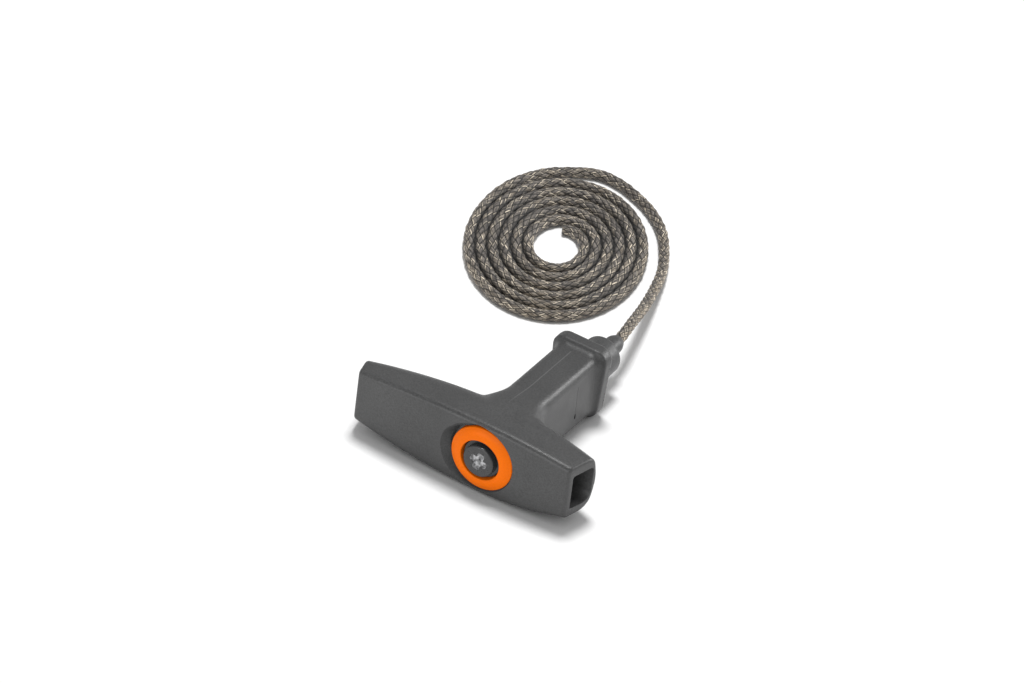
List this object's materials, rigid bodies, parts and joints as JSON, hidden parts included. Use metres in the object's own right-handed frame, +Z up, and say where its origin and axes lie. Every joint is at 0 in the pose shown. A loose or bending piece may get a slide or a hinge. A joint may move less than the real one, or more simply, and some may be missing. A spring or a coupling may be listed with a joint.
{
  "type": "recoil starter handle",
  "caption": "T-shaped moulded pull handle with a coloured trim ring, a sprung rope anchor in its bore, a stepped rear rope guide and a coiled braided starter rope.",
  "frame": {"origin": "bottom centre of the handle (without the rope's loose stretch and coil), on the surface it lies on", "axes": "+X along the crossbar towards its short arm, +Y along the bore from the trim ring towards the rope, +Z up with the handle lying on its side"},
  "size_m": [0.1459, 0.2167, 0.0332],
  "materials": {
    "body_nylon": "fine-textured moulded nylon",
    "ring_orange": "satin orange plastic",
    "anchor_nylon": "smooth dark nylon",
    "plug_nylon": "smooth dark nylon",
    "damper_elastomer": "black elastomer",
    "guide_nylon": "fine-textured moulded nylon",
    "rope_braid": "braided polyester rope, grey-brown with tan flecks"
  },
  "bodies": {
    "handle": {"handle_body": "body_nylon", "trim_ring": "ring_orange", "guide_nozzle": "guide_nylon", "damper_sleeve": "damper_elastomer"},
    "anchor": {"rope_anchor": "anchor_nylon", "anchor_plug": "plug_nylon", "rope_inside": "rope_braid", "rope_lead": "rope_braid", "rope_coil": "rope_braid"}
  },
  "joints": [
    {"name": "anchor_slide", "type": "slide", "parent": "handle", "child": "anchor", "axis": [0, 1, 0], "range_m": [0, 0.008], "stiffness_N_per_m": 3000, "deforming": ["damper_sleeve"]}
  ]
}
